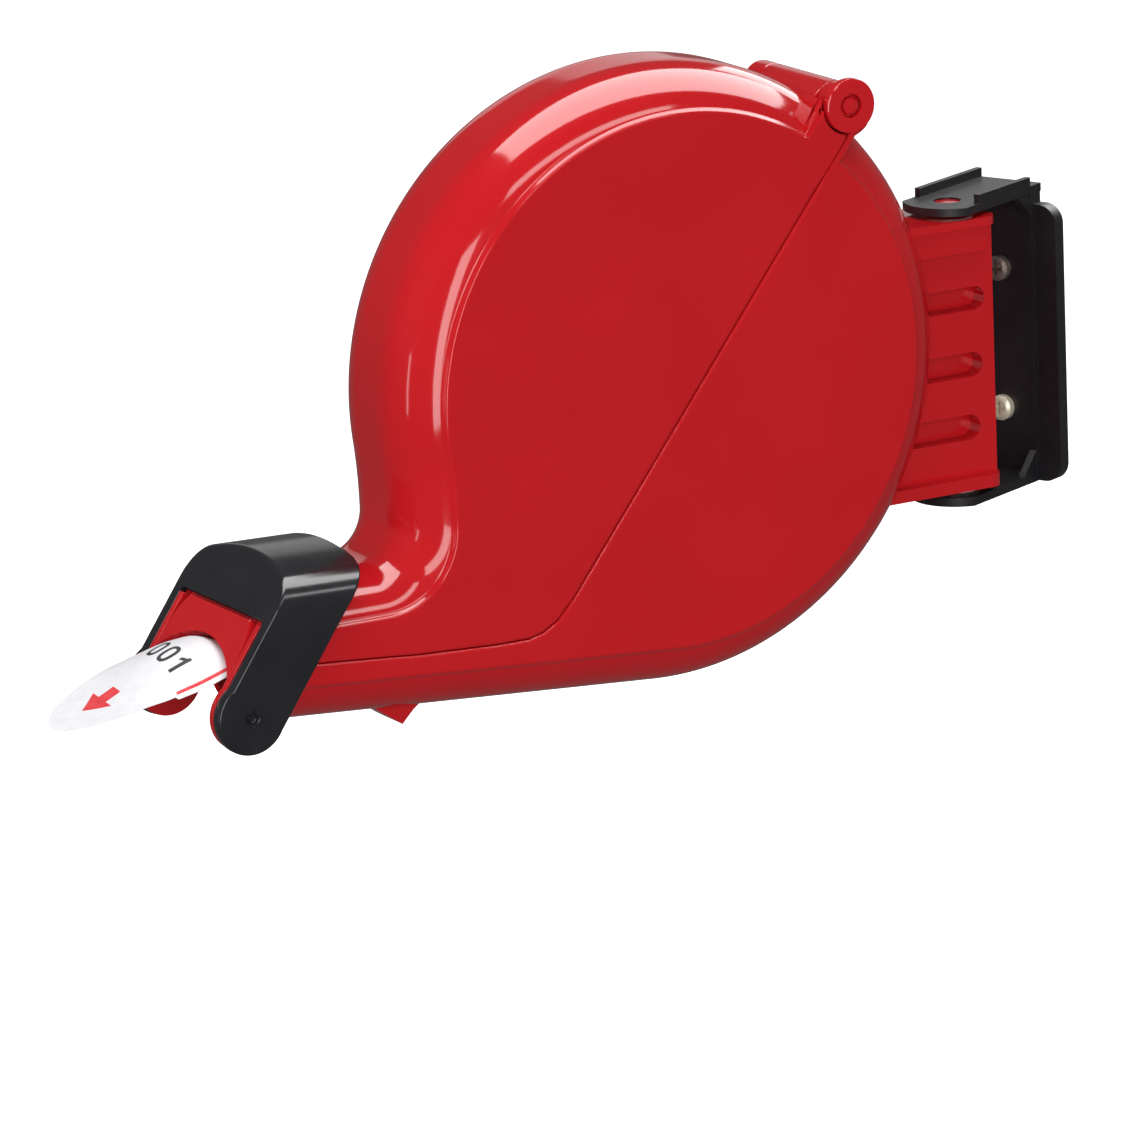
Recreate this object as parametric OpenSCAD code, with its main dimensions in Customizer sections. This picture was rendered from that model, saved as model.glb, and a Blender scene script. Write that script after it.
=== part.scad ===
// Wall-mounted take-a-number ticket dispenser: a round two-part casing with a
// snout, on a swivel knuckle held in a wall bracket.
// Wall plane is x = 0 with +X into the wall, +Z is up, and the origin is
// midway between the two wall screws. Millimetres.

/* [Casing] */
// Radius of the round casing
case_r = 96; // [95:0.5:97]
// Overall thickness of the casing
case_t = 52; // [51:0.5:53]
// Radius of the soft shoulder round the rim
shoulder_r = 20; // [19:0.5:20]
// Width of the rim outside the raised side panels
rim_w = 13; // [12:0.5:14]
// Wall thickness of the casing shells
wall = 2.4; // [2:0.1:2.6]

/* [Pose] */
// Angle of the casing from straight out of the wall, as built
swivel_rest = 24; // [0:1:30]
// Distance of the swivel axis from the wall
swivel_off = 35; // [34:0.5:37]

/* [Wall bracket] */
// Width of the wall plate
plate_w = 40; // [38:1:44]
// Thickness of the wall plate
plate_t = 4.6; // [4:0.1:5]
// Width of the two arms
arm_w = 24; // [24:1:26]
// Distance between the two wall screws
screw_pitch = 45; // [40:1:50]
// Shank diameter of the wall screws
screw_d = 4; // [3.5:0.5:4.5]
// Length of each wall screw behind the wall plane
screw_in = 24; // [18:1:30]

/* [Tickets] */
// Width of the paper strip
paper_w = 36; // [34:0.5:36]
// Outer radius of the full roll
roll_r = 52; // [40:1:52]
// Outer radius of the cardboard core
core_r = 16; // [15:0.5:18]

/* [Mouth hood] */
// Half width of the black hood over the mouth
hood_hw = 30.5; // [30:0.1:31]
// Half width between the legs of the hood
hood_in = 26.4; // [26.3:0.1:26.6]

/* [Hidden] */
$fn = 64;
hw = case_t / 2;
// swivel axis and screw-pattern height, in the casing's own frame, whose
// origin is the centre of the round casing
swx = 111;
swz = -13;
// cover hinge axis
hbx = 60.5;
hbz = 77.2;
// hood pivot axis, and the directions along and across the hood legs
hpx = -154.5;
hpz = -78;
leg = [0.574, 0.819];
nrm = [-0.819, 0.574];
// roll centre
rlx = 4;
rlz = -18;
// snout: top surface, neck fillet, and the slope of the underside
nose_z = -43;
neck_x = -104.5;
neck_r = 10.5;
under_a = 4.3;
limb_x = -94;
red = [0.76, 0.09, 0.11];
black = [0.09, 0.09, 0.10];

module place() translate([-swivel_off, 0, 0]) rotate([0, 0, -swivel_rest])
    translate([-swx, 0, -swz]) children();
// extrusion of an XZ drawing along Y, from y0 to y1
module slab(y0, y1) translate([0, y1, 0]) rotate([90, 0, 0]) linear_extrude(y1 - y0) children();
// cylinder along Y
module ycyl(x, z, r, y0, y1) translate([x, y0, z]) rotate([-90, 0, 0]) cylinder(r = r, h = y1 - y0);
// a point of the hood's side view: s along the leg, q in front of the pivot
function hp(s, q) = [hpx + leg[0] * s + nrm[0] * q, hpz + leg[1] * s + nrm[1] * q];

// ---- casing form ----------------------------------------------------
// section through any edge of the casing: depth inwards along x, width along y
module edge2d(w, len) {
    translate([shoulder_r, -hw + w]) square([len - shoulder_r, case_t - 2 * w]);
    translate([w, -hw + shoulder_r]) square([len - w, case_t - 2 * shoulder_r]);
    for (s = [-1, 1]) translate([shoulder_r, s * (hw - shoulder_r)]) circle(r = shoulder_r - w);
    if (w == 0) translate([rim_w, -hw]) square([len - rim_w, case_t]);
}
module drum(w) rotate([90, 0, 0]) rotate_extrude() intersection() {
    translate([case_r, 0]) mirror([1, 0]) edge2d(w, case_r);
    translate([0, -hw]) square([case_r + 1, case_t]);
}
module snout(w) intersection() {
    union() {
        translate([limb_x, 0, -100]) linear_extrude(100) edge2d(w, 90);
        translate([neck_x, 0, nose_z + neck_r]) rotate([90, 0, 0]) rotate([0, 0, -90])
            rotate_extrude(angle = 90) translate([neck_r, 0]) edge2d(w, 52);
        translate([-172, 0, 0]) rotate([0, 90, 0]) linear_extrude(172 + neck_x + 0.02)
            translate([-nose_z, 0]) edge2d(w, 62);
    }
    rotate([0, under_a, 0]) rotate([0, -90, 0]) linear_extrude(190)
        translate([-case_r + 0.15, 0]) edge2d(w, 130);
}
module body(w) {
    drum(w);
    snout(w);
}
// side view of the region above and left of the parting line
module cover_side(g) polygon([[-190, -63 + g], [-135.7, -65.9 + g], [-122, -67 + g], [-95, -69.4 + g],
    [-68, -70.8 + g], [-57.6, -70.8 + g], [-52.6 - g, -69.6 + g], [-47.4 - g, -66.6 + g], [-41.6 - g, -60.6 + g],
    [-32.4 - g, -49], [59.1 - g, 66.7], [75 - g, 86.9], [75, 130], [-190, 130]]);
// front plane of the snout, q in front of the hood pivot
module behind_front(q) slab(-40, 40)
    polygon([hp(-100, q), hp(62, q), [-126, 200], [300, 200], [300, -300], hp(-100, q - 60)]);
module ear_side(e) {
    polygon([hp(0, 10.4 + e), hp(25.2, 10.2 + e), hp(25.6, 8.2), hp(30, 8), hp(32, -11 - e), hp(0, -11 - e)]);
    translate(hp(0, 0)) circle(r = 11 + e);
}

// ---- wall bracket ----------------------------------------------------
module arm2d(h) {
    intersection() {
        translate([-16, -arm_w / 2]) square([16 + h, arm_w]);
        union() {
            translate([2, 0]) circle(r = 15);
            translate([2, -arm_w / 2]) square([h - 2, arm_w]);
        }
    }
}
module wall_bracket() color(black) difference() {
    union() {
        // wall plate with rounded corners, and its raised web
        translate([-plate_t, 0, -1]) rotate([0, 90, 0]) linear_extrude(plate_t) union() {
            square([89 - 12, plate_w], center = true);
            square([89, plate_w - 12], center = true);
            for (a = [-1, 1], b = [-1, 1]) translate([a * 38.5, b * (plate_w / 2 - 6)]) circle(r = 6);
        }
        translate([-plate_t - 1.4, -arm_w / 2, -44]) cube([1.4 + plate_t - 0.5, arm_w, 91]);
        // top arm with its two upturned lips
        translate([-swivel_off, 0, 47]) linear_extrude(2.6) arm2d(swivel_off);
        for (s = [-1, 1]) translate([-swivel_off, s * (arm_w / 2 - 1) - 1, 47])
            cube([swivel_off - (s < 0 ? 6 : 0), 2, 5.4]);
        // bottom arm with a stiffening rib below
        translate([-swivel_off, 0, -45.4]) linear_extrude(2.8) arm2d(swivel_off);
        translate([-swivel_off + 4, -3, -47.4]) cube([swivel_off - 6, 6, 2.2]);
        // gussets between the web and the arms
        for (s = [-1, 1]) translate([0, s * 10.6 - 1.2, 0]) translate([0, 2.4, 0]) rotate([90, 0, 0])
            linear_extrude(2.4) {
                polygon([[-6, 48], [-14, 48], [-6, 40]]);
                polygon([[-6, -43.5], [-14, -43.5], [-6, -35.5]]);
            }
    }
    translate([-swivel_off, 0, -60]) cylinder(r = 4.3, h = 120);
    for (s = [-1, 1]) translate([-20, 0, s * screw_pitch / 2]) rotate([0, 90, 0]) cylinder(r = screw_d / 2, h = 30);
    // shallow tray behind the plate rim, open to the wall
    for (s = [-1, 1]) translate([-1.6, s * 14 - 4, -40]) cube([2, 8, 78]);
}
module wall_screws() color([0.72, 0.66, 0.5]) for (s = [-1, 1])
    translate([0, 0, s * screw_pitch / 2]) rotate([0, 90, 0]) difference() {
        union() {
            cylinder(r = screw_d / 2, h = screw_in - 3);
            translate([0, 0, -plate_t - 1.4]) cylinder(r = screw_d / 2 - 0.15, h = plate_t + 1.5);
            translate([0, 0, screw_in - 3]) cylinder(r1 = screw_d / 2, r2 = 0.4, h = 3);
            translate([0, 0, -plate_t - 1.4 - 2.2]) cylinder(r = 4, h = 2.2);
            translate([0, 0, -plate_t - 1.4 - 2.9]) cylinder(r1 = 2.9, r2 = 4, h = 0.7);
        }
        for (a = [0, 90]) rotate([0, 0, a]) translate([-2.1, -0.5, -10]) cube([4.2, 1, 10 - plate_t - 1.4 - 1.2]);
    }

// ---- swivel knuckle --------------------------------------------------
module swivel_washers() color([0.85, 0.85, 0.82]) translate([-swivel_off, 0, 0])
    for (z = [46.2, -42.4]) translate([0, 0, z]) difference() {
        cylinder(r = 8, h = 0.6);
        translate([0, 0, -1]) cylinder(r = 4.35, h = 3);
    }
// finger-shaped pocket from z0 to z1, round at its end x1, cut into both faces of the web
module pocket(z0, z1, x1) for (s = [-1, 1]) slab(s > 0 ? 3.2 : -14, s > 0 ? 14 : -3.2) {
    translate([70, z0]) square([x1 - 70 - (z1 - z0) / 2, z1 - z0]);
    translate([x1 - (z1 - z0) / 2, (z0 + z1) / 2]) circle(r = (z1 - z0) / 2);
}
module swivel_arm() color(red) place() difference() {
    union() {
        // upright web
        difference() {
            translate([80, -9, -53.4]) cube([41.2, 18, 85.9]);
            pocket(2.9, 10.3, 118);
            pocket(-18.3, -10.5, 116.8);
            pocket(-38.3, -30.3, 115.4);
        }
        // top band and flange
        translate([80, -12, 22]) cube([37.6, 24, 8]);
        translate([0, 0, 30]) linear_extrude(2.6) {
            translate([80, -13.5]) square([36.5, 27]);
            for (s = [-1, 1]) translate([116.5, s * 8.5]) circle(r = 5);
            translate([116.5, -8.5]) square([5, 17]);
        }
        // bottom flange
        translate([0, 0, -53.5]) linear_extrude(4) {
            translate([68, -13.5]) square([48.5, 27]);
            for (s = [-1, 1]) translate([116.5, s * 8.5]) circle(r = 5);
            translate([116.5, -8.5]) square([5, 17]);
        }
        // trunnions that turn in the bracket arms
        translate([swx, 0, 30]) cylinder(r = 4.2, h = 6);
        translate([swx, 0, -58]) cylinder(r = 4.2, h = 6);
    }
    drum(-0.05);
    for (z = [16, -22]) translate([90, 0, z]) rotate([0, 90, 0]) cylinder(r = 1.5, h = 17);
}
module arm_screws() color([0.7, 0.7, 0.72]) place() for (z = [16, -22])
    translate([0, 0, z]) rotate([0, 90, 0]) {
        translate([0, 0, 88]) cylinder(r = 1.5, h = 18);
        translate([0, 0, 86.6]) cylinder(r = 3, h = 1.8);
    }

// ---- base half of the casing -----------------------------------------
module base_shell() color(red) place() difference() {
    union() {
        difference() {
            body(0);
            body(wall);
        }
        // floor of the snout between the ears, and posts for the chute
        intersection() {
            union() {
                for (x = [-62, -122]) translate([x, 0, -95]) cylinder(r = 4, h = 95 + feed_z(x) - 2.6);
                // screw pads behind the knuckle
                for (z = [16, -22]) translate([88.4, -6, z - 6]) cube([8, 12, 12]);
                // pad for the brake spring
                rotate([0, 32, 0]) translate([88.2, -8, -8]) cube([6, 16, 16]);
                // bosses that carry the spindle seats
                for (s = [-1, 1]) for (p = [[20, -8], [2, -40]])
                    ycyl(p[0], p[1], 4, s > 0 ? 21.6 : -25, s > 0 ? 25 : -21.6);
            }
            body(0.5);
        }
        // hinge ends: the disc face on one side, knuckles and the webs that carry them
        ycyl(hbx, hbz, 8.4, -27.5, -24.4);
        for (s = [-1, 1]) {
            ycyl(hbx, hbz, 6.5, s > 0 ? 18 : -25, s > 0 ? 26.2 : -18);
            slab(s > 0 ? 18.2 : -26, s > 0 ? 26 : -18.2)
                polygon([[55.6, 61.6], [60.6, 68.2], [63, 76], [66.6, 72.6], [64.4, 68.2], [61.6, 65.4], [57.6, 59.8]]);
        }
        // small lug under the snout
        slab(-8, 8) polygon([[-84, -88], [-88.6, -91.2], [-92.6, -95.4], [-103, -88.2], [-100, -86]]);
    }
    // everything on the cover's side of the parting line, and the ears' room
    difference() {
        slab(-40, 40) cover_side(-0.12);
        for (s = [-1, 1]) ycyl(hbx, hbz, s > 0 ? 6.5 : 8.4, s > 0 ? 18 : -30, s > 0 ? 30 : -18);
    }
    for (s = [-1, 1]) slab(s > 0 ? 23.2 : -40, s > 0 ? 40 : -23.2) {
        polygon([hp(-40, 60), hp(60, 60), hp(60, -11.6), hp(0, -11.6), hp(-40, -11.6)]);
    }
    slab(-40, 40) polygon([[-200, -130], [-142, -130], [-142, 0], [-200, 0]]);
    // room for the cover's middle knuckle, and the pin bore
    ycyl(hbx, hbz, 7, -18, 18);
    ycyl(hbx, hbz, 3.45, -40, 24.6);
    ycyl(hbx, hbz, 4.8, -40, -26);
    // screw holes
    for (z = [16, -22]) translate([84, 0, z]) rotate([0, 90, 0]) cylinder(r = 1.5, h = 20);
    for (p = [[-62, -95, -60], [-122, -84, -60]]) translate([p[0], 0, p[1] + 6]) cylinder(r = 1.3, h = 40);
    rotate([0, 32, 0]) for (z = [-4.5, 4.5]) translate([84, 0, z]) rotate([0, 90, 0]) cylinder(r = 1.2, h = 9);
    for (s = [-1, 1]) for (p = [[20, -8], [2, -40]]) ycyl(p[0], p[1], 1.2, s > 0 ? 19 : -24.6, s > 0 ? 24.6 : -19);
}
module cover_hinge_pin() color(red) place() difference() {
    ycyl(hbx, hbz, 3.4, -27, 24.4);
    ycyl(hbx, hbz, 2.4, -28, -26.4);
}

// ---- inside the base -------------------------------------------------
module seat_side() difference() {
    union() {
        translate([rlx, rlz]) circle(r = 9);
        polygon([[10.6, -2], [24, -2], [25, -12], [10.6, -26]]);
        polygon([[-4, -24], [12, -24], [7, -45], [-3, -45]]);
        translate([20, -8]) circle(r = 5);
        translate([2, -40]) circle(r = 5);
    }
    translate([rlx, rlz]) circle(r = 5.08);
    // slot that lets the spindle lift out towards the cover
    translate([rlx, rlz]) rotate([0, 0, 141.7]) translate([0, -5.08]) square([30, 10.16]);
}
module spindle_seats() color([0.85, 0.84, 0.8]) place() for (s = [-1, 1]) difference() {
    slab(s > 0 ? 19 : -21.6, s > 0 ? 21.6 : -19) seat_side();
    for (p = [[20, -8], [2, -40]]) {
        ycyl(p[0], p[1], 1.2, s > 0 ? 18 : -24, s > 0 ? 24 : -18);
        ycyl(p[0], p[1], 2.3, s > 0 ? 18 : -20.2, s > 0 ? 20.2 : -18);
    }
}
module seat_screws() color([0.7, 0.7, 0.72]) place() for (s = [-1, 1]) for (p = [[20, -8], [2, -40]]) {
    ycyl(p[0], p[1], 1.2, s > 0 ? 19.4 : -24.4, s > 0 ? 24.4 : -19.4);
    ycyl(p[0], p[1], 2.25, s > 0 ? 19.1 : -20.2, s > 0 ? 20.2 : -19.1);
}
// height of the paper's underside over the casing's frame, along the feed line
function feed_z(x) = rlz - roll_r - 0.62 - (x - rlx) * 0.0265;
module chute_plate() color([0.85, 0.84, 0.8]) place() difference() {
    union() {
        slab(-20, 20) polygon([[-30, feed_z(-30) - 3.6], [-34, feed_z(-34) - 0.3], [-149, feed_z(-149) - 0.3],
            [-150.4, feed_z(-150) - 1.2], [-149, feed_z(-149) - 2.3], [-40, feed_z(-40) - 2.3]]);
        for (s = [-1, 1]) slab(s > 0 ? 18.5 : -20, s > 0 ? 20 : -18.5)
            polygon([[-50, feed_z(-50) - 1], [-52, feed_z(-52) + 4], [-134, feed_z(-134) + 4], [-140, feed_z(-140) - 1]]);
    }
    for (x = [-62, -122]) {
        translate([x, 0, -80]) cylinder(r = 1.3, h = 30);
        translate([x, 0, feed_z(x) - 1.6]) cylinder(r = 2.6, h = 5);
    }
}
module chute_screws() color([0.7, 0.7, 0.72]) place() for (x = [-62, -122]) {
    translate([x, 0, feed_z(x) - 1.6]) cylinder(r = 2.55, h = 1.1);
    translate([x, 0, feed_z(x) - 11]) cylinder(r = 1.3, h = 10);
}
module brake_spring() color([0.75, 0.76, 0.78]) place() difference() {
    slab(-6, 6) rotate([0, 0, -32]) polygon([[88.2, -7.4], [88.2, 7.4], [87.4, 8.2], [62, 16.2], [58.7, 16.7],
        [56.2, 18.3], [55.8, 17.6], [58.4, 15.9], [62, 15.5], [87, 7.5], [87.6, 7], [87.6, -7.4]]);
    rotate([0, 32, 0]) for (z = [-4.5, 4.5]) translate([80, 0, z]) rotate([0, 90, 0]) cylinder(r = 1.2, h = 14);
}
module brake_rivets() color([0.7, 0.7, 0.72]) place() rotate([0, 32, 0]) for (z = [-4.5, 4.5])
    translate([0, 0, z]) rotate([0, 90, 0]) {
        translate([0, 0, 87]) cylinder(r = 1.2, h = 5.6);
        translate([0, 0, 86.6]) cylinder(r = 2.2, h = 1);
    }

// ---- tickets ----------------------------------------------------------
module roll_spindle() color([0.85, 0.84, 0.8]) place() {
    ycyl(rlx, rlz, 5, -23, 23);
    ycyl(rlx, rlz, 12.7, -17.6, 17.6);
    for (s = [-1, 1]) ycyl(rlx, rlz, 7.5, s > 0 ? 17 : -18.6, s > 0 ? 18.6 : -17);
}
module tube(ro, ri, w) difference() {
    ycyl(rlx, rlz, ro, -w / 2, w / 2);
    ycyl(rlx, rlz, ri, -w, w);
}
module roll_core() color([0.62, 0.45, 0.3]) place() tube(core_r, 12.7, paper_w - 0.6);
module ticket_roll() color([0.95, 0.95, 0.94]) place() tube(roll_r, core_r, paper_w);
module ticket_strip() color([0.97, 0.97, 0.97]) place() intersection() {
    slab(-paper_w / 2, paper_w / 2) polygon([[46, feed_z(46)], [-149, feed_z(-149)], [-155, feed_z(-149) - 0.2],
        [-162, -67.9], [-172, -69.9], [-190, -74.2], [-206.5, -78.6], [-206.5, -78.3], [-190, -73.9], [-172, -69.6], [-162, -67.6],
        [-155, feed_z(-149) + 0.1], [-149, feed_z(-149) + 0.3], [46, feed_z(46) + 0.3]]);
    translate([0, 0, -100]) linear_extrude(100) union() {
        polygon([[60, 30], [-173, 30], [-173, -30], [60, -30]]);
        polygon([[-172, 18], [-176, 17.3], [-181, 16.2], [-186, 15.2], [-190.5, 14], [-196, 11.8], [-200, 9.6], [-203.4, 6.6],
            [-205.3, 3.2], [-205.9, 0], [-205.3, -3.2], [-203.4, -6.6], [-200, -9.6], [-196, -11.8], [-190.5, -14], [-186, -15.2],
            [-181, -16.2], [-176, -17.3], [-172, -18]]);
    }
}

// ---- cover half of the casing -----------------------------------------
module cover_shell() color(red) place() difference() {
    union() {
        intersection() {
            difference() {
                body(0);
                body(wall);
            }
            slab(-40, 40) cover_side(0.12);
            behind_front(8);
        }
        // ears beside the mouth that carry the hood
        for (s = [-1, 1]) slab(s > 0 ? 23.6 : -25.9, s > 0 ? 25.9 : -23.6) ear_side(0);
        // middle knuckle of the hinge with its web onto the rim
        ycyl(hbx, hbz, 6.5, -17.6, 17.6);
        slab(-17.6, 17.6) polygon([[50, 80.4], [57, 83.4], [62, 83], [57, 72.6], [50, 79]]);
        // flats that run up beside the knuckle faces
        for (s = [-1, 1]) slab(s > 0 ? 18.2 : -26, s > 0 ? 26 : -18.2)
            polygon([[45.9, 69.4], [52.4, 77], [58, 69], [58.6, 66.4], [54.6, 61.2], [47, 64]]);
    }
    // room for the end knuckles of the base
    for (s = [-1, 1]) ycyl(hbx, hbz, s > 0 ? 7.4 : 8.9, s > 0 ? 17.9 : -40, s > 0 ? 40 : -17.9);
    ycyl(hbx, hbz, 3.5, -40, 40);
    for (s = [-1, 1]) ycyl(hpx, hpz, 2.5, s > 0 ? 20 : -40, s > 0 ? 40 : -20);
}
module nose_plate() color(red) place() intersection() {
    difference() {
        slab(-23.5, 23.5) polygon([hp(46, 8.2), hp(26, 8.2), hp(25.6, 10.2), hp(7, 10.2), hp(7, 5.8), hp(46, 5.8)]);
        // finger notch, a wide arc cut square through the plate
        translate([hpx, 0, hpz]) rotate([0, 90 - 54.97, 0]) translate([0, 0, -16]) rotate([0, 90, 0])
            cylinder(r = 32.8, h = 80, center = true);
    }
    body(wall + 0.05);
}

// ---- mouth hood --------------------------------------------------------
// section of the hood across its width: crowned roof and round corners. Each
// point is the depth below the top line, and y. cr is the radius of the crown,
// r of the corners, whose centres are at y = cy and the depth cd
function arch(cr, cy, cd, r) = let (t = atan2(cy, 80 - cd)) concat(
    [for (i = [0:14]) let (a = 90 - i * (90 - t) / 14) [cd - r * cos(a), -cy - r * sin(a)]],
    [for (i = [-13:13]) let (a = t * i / 14) [80 - cr * cos(a), cr * sin(a)]],
    [for (i = [0:14]) let (a = t + i * (90 - t) / 14) [cd - r * cos(a), cy + r * sin(a)]],
    [[100, cy + r], [100, -cy - r]]);
module hood_top(pts) translate([-137.1, 0, -34.9]) rotate([0, 1.8, 0]) translate([-60, 0, 0])
    rotate([0, 90, 0]) linear_extrude(150) polygon(pts);
module mouth_hood() color(black) place() difference() {
    intersection() {
        union() {
            slab(-40, 40) polygon([hp(0, 10.4), hp(48, 10.4), [-112.3, -32.5],
                [-111.6, -38], hp(42, -11.3), hp(0, -11.3)]);
            ycyl(hpx, hpz, 11.4, -40, 40);
        }
        hood_top(arch(80, hood_hw - 10.5, 13.43, 10.5));
    }
    // hollow between the legs, behind the front wall
    intersection() {
        slab(-40, 40) polygon([hp(-30, 40), hp(26.5, 40), hp(26.5, 8.8), hp(80, 8.8), hp(120, -90), hp(-30, -90)]);
        hood_top(arch(76.6, hood_in - 6.9, 13.08, 6.9));
    }
    for (s = [-1, 1]) {
        ycyl(hpx, hpz, 2.55, s > 0 ? 20 : -29.4, s > 0 ? 29.4 : -20);
        ycyl(hpx, hpz, 1.6, s > 0 ? 30 : -40, s > 0 ? 40 : -30);
    }
}
module hood_pins() color([0.7, 0.7, 0.72]) place() for (s = [-1, 1])
    ycyl(hpx, hpz, 2.5, s > 0 ? 22.6 : -29, s > 0 ? 29 : -22.6);

wall_bracket();
wall_screws();
swivel_washers();
swivel_arm();
arm_screws();
base_shell();
cover_hinge_pin();
spindle_seats();
seat_screws();
chute_plate();
chute_screws();
brake_spring();
brake_rivets();
roll_spindle();
roll_core();
ticket_roll();
ticket_strip();
cover_shell();
nose_plate();
mouth_hood();
hood_pins();
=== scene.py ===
"""Looks of a wall-mounted take-a-number ticket dispenser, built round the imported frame.

Casing pieces are drawn in the casing's own frame in millimetres: x towards the
bracket, y across the thickness, z up, origin at the centre of the round part.
"""

import math

import bmesh
import bpy
import numpy as np
from mathutils import Matrix, Vector
from mathutils.geometry import tessellate_polygon


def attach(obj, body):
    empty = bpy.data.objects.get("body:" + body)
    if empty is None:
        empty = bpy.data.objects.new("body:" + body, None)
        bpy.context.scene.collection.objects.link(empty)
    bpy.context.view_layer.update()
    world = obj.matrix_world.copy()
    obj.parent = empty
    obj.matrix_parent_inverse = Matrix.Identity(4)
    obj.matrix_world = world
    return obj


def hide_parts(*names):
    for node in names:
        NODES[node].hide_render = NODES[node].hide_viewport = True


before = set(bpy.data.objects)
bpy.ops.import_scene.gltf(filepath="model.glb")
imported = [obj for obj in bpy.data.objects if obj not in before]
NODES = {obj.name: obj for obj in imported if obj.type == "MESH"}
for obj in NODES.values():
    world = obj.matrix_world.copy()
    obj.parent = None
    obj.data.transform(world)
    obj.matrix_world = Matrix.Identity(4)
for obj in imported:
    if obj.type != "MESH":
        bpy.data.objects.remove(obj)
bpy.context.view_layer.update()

# ---------------------------------------------------------------- placing
REST = math.radians(24.0)
CA, SA = math.cos(REST), math.sin(REST)


def place(points):
    """Casing millimetres to metres in the row frame."""
    p = np.asarray(points, float).reshape(-1, 3)
    x, y, z = p[:, 0] - 111.0, p[:, 1], p[:, 2] + 13.0
    return np.stack([CA * x + SA * y - 35.0, -SA * x + CA * y, z], 1) / 1000.0


def row(points):
    """Row millimetres to metres."""
    return np.asarray(points, float).reshape(-1, 3) / 1000.0


# ---------------------------------------------------------------- materials
def tree(name):
    m = bpy.data.materials.new(name)
    m.use_nodes = True
    nt = m.node_tree
    b = nt.nodes["Principled BSDF"]
    return m, nt, b


def node(nt, kind, **values):
    n = nt.nodes.new(kind)
    for k, v in values.items():
        if k in n.inputs:
            n.inputs[k].default_value = v
        else:
            setattr(n, k, v)
    return n


def coords(nt, frame_of="Object"):
    return node(nt, "ShaderNodeTexCoord").outputs[frame_of]


def noise(nt, vec, scale, detail=2.0, rough=0.5):
    n = node(nt, "ShaderNodeTexNoise", Scale=scale, Detail=detail, Roughness=rough)
    nt.links.new(vec, n.inputs["Vector"])
    return n.outputs["Fac"]


def spread(nt, fac, lo, hi, a=0.3, b=0.7):
    r = node(nt, "ShaderNodeMapRange")
    r.inputs["From Min"].default_value, r.inputs["From Max"].default_value = a, b
    r.inputs["To Min"].default_value, r.inputs["To Max"].default_value = lo, hi
    nt.links.new(fac, r.inputs["Value"])
    return r.outputs["Result"]


def two_tone(nt, fac, c1, c2, lo=0.35, hi=0.65):
    r = node(nt, "ShaderNodeValToRGB")
    r.color_ramp.elements[0].position, r.color_ramp.elements[1].position = lo, hi
    r.color_ramp.elements[0].color = (*c1, 1)
    r.color_ramp.elements[1].color = (*c2, 1)
    nt.links.new(fac, r.inputs["Fac"])
    return r.outputs["Color"]


def bump(nt, bsdf, fac, strength, distance, before=None):
    b = node(nt, "ShaderNodeBump", Strength=strength, Distance=distance)
    nt.links.new(fac, b.inputs["Height"])
    if before is not None:
        nt.links.new(before, b.inputs["Normal"])
    nt.links.new(b.outputs["Normal"], bsdf.inputs["Normal"])
    return b.outputs["Normal"]


def moulded(name, c1, c2, rough, grain=0.0, wave=0.0, ior=1.5, scale=60.0, spec=0.5):
    """Injection-moulded plastic: slight flow mottling, and a surface that is
    smooth with a faint waviness, or finely grained."""
    m, nt, b = tree(name)
    v = coords(nt)
    big = noise(nt, v, scale, 3.0)
    nt.links.new(two_tone(nt, big, c1, c2), b.inputs["Base Color"])
    fine = noise(nt, v, 420.0, 3.0, 0.6)
    nt.links.new(spread(nt, fine, rough * 0.88, rough * 1.14), b.inputs["Roughness"])
    b.inputs["IOR"].default_value = ior
    b.inputs["Specular IOR Level"].default_value = spec
    before = None
    if wave:
        soft = noise(nt, v, 34.0, 1.0)
        before = bump(nt, b, soft, wave, 0.0006)
    if grain:
        gr = noise(nt, v, 2600.0, 2.0, 0.7)
        bump(nt, b, gr, grain, 0.00008, before)
    return m


RED = moulded("red_plastic", (0.50, 0.0085, 0.0125), (0.535, 0.0100, 0.0142), 0.085, wave=0.045, scale=22)
RED_IN = moulded("red_inside", (0.45, 0.010, 0.014), (0.52, 0.014, 0.019), 0.34, grain=0.12, scale=40)
HOOD = moulded("black_plastic", (0.0130, 0.0135, 0.0158), (0.0175, 0.0180, 0.0210), 0.17, grain=0.03, wave=0.04)
BRACKET = moulded("bracket_plastic", (0.0075, 0.0062, 0.0080), (0.0110, 0.0092, 0.0115), 0.42, grain=0.22)
INNER = moulded("inner_plastic", (0.66, 0.65, 0.61), (0.74, 0.73, 0.69), 0.38, grain=0.10)


def metal(name, c1, c2, rough, brushed=0.0, metallic=1.0):
    m, nt, b = tree(name)
    v = coords(nt)
    n1 = noise(nt, v, 700.0, 4.0, 0.65)
    nt.links.new(two_tone(nt, n1, c1, c2), b.inputs["Base Color"])
    nt.links.new(spread(nt, noise(nt, v, 1500.0, 3.0), rough * 0.75, rough * 1.3), b.inputs["Roughness"])
    b.inputs["Metallic"].default_value = metallic
    bump(nt, b, noise(nt, v, 3000.0, 3.0, 0.7), 0.15 + brushed, 0.00004)
    return m


BRASS = metal("screw_brass", (0.72, 0.66, 0.48), (0.88, 0.83, 0.66), 0.36, metallic=0.45)
# Darker copy of the brass for the upper wall screw: painted shade for the half-hidden place where it sits.
BRASS_PAINTED_SHADE = metal("screw_brass_painted_shade", (0.16, 0.125, 0.11), (0.28, 0.22, 0.19), 0.45, metallic=0.6)
STEEL = metal("steel", (0.48, 0.48, 0.50), (0.66, 0.66, 0.68), 0.30)


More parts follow.
